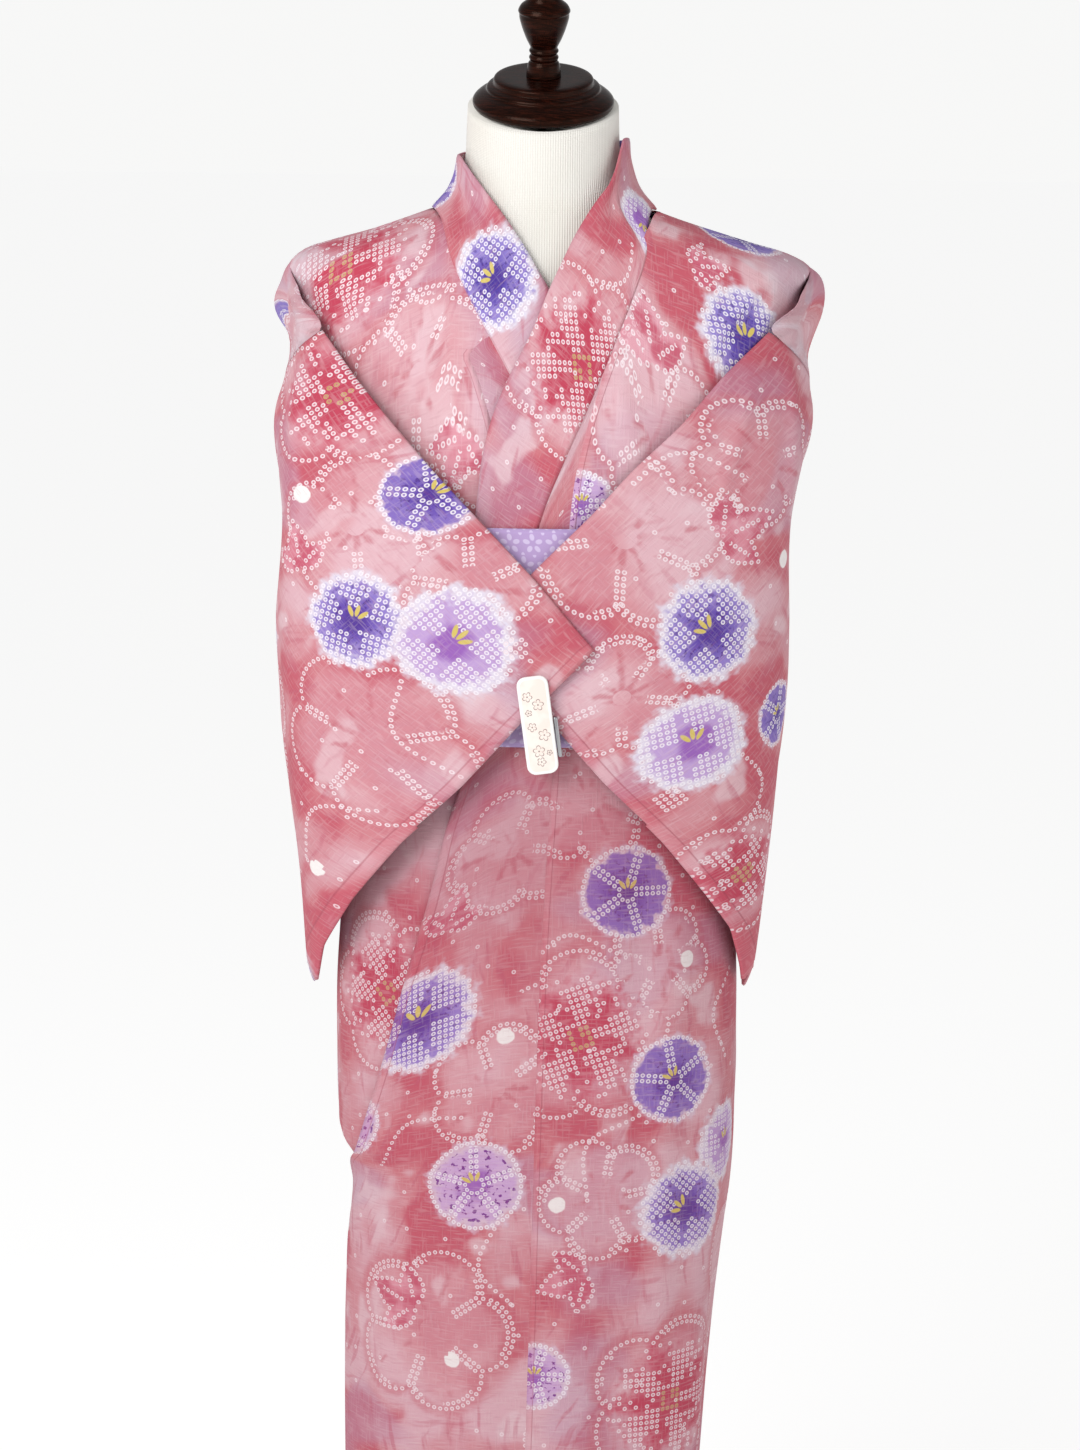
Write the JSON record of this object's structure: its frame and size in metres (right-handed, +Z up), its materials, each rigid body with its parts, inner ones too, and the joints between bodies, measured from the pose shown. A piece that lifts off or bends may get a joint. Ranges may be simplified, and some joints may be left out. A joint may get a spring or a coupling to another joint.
{
  "type": "cotton yukata robe on a limbless dress form",
  "caption": "Lapped cotton yukata robe with a waist belt on a limbless dress form, its wide sleeves crossed over the front and held by a clip.",
  "frame": {"origin": "centre of the round base's underside, where it stands on the floor", "axes": "+Z up, -Y the robe's front, +X the right of someone facing it"},
  "size_m": [0.4494, 0.34, 1.6146],
  "materials": {
    "rose_cotton": "plain-woven slubbed cotton, dyed in pinks with resist-dot flowers",
    "lavender_cotton": "matt woven cotton with small tone-on-tone flowers",
    "white_jersey": "fine ribbed jersey",
    "dark_wood": "turned, stained and varnished",
    "black_metal": "satin black paint",
    "clip_steel": "plated steel",
    "clip_enamel": "cream face with a white rim"
  },
  "bodies": {
    "root": {"body_right_front": "rose_cotton", "body_right_back": "rose_cotton", "body_left_front": "rose_cotton", "body_left_back": "rose_cotton", "okumi_right": "rose_cotton", "okumi_left": "rose_cotton", "collar": "rose_cotton", "sleeve_right": "rose_cotton", "sleeve_left": "rose_cotton", "belt": "lavender_cotton", "form_torso": "white_jersey", "neck_cap": "dark_wood", "finial": "dark_wood", "base": "dark_wood", "pole": "black_metal", "clip_face": "clip_enamel", "clip_back": "clip_steel", "clip_spring": "clip_steel", "clip_lever": "clip_steel"}
  },
  "joints": []
}
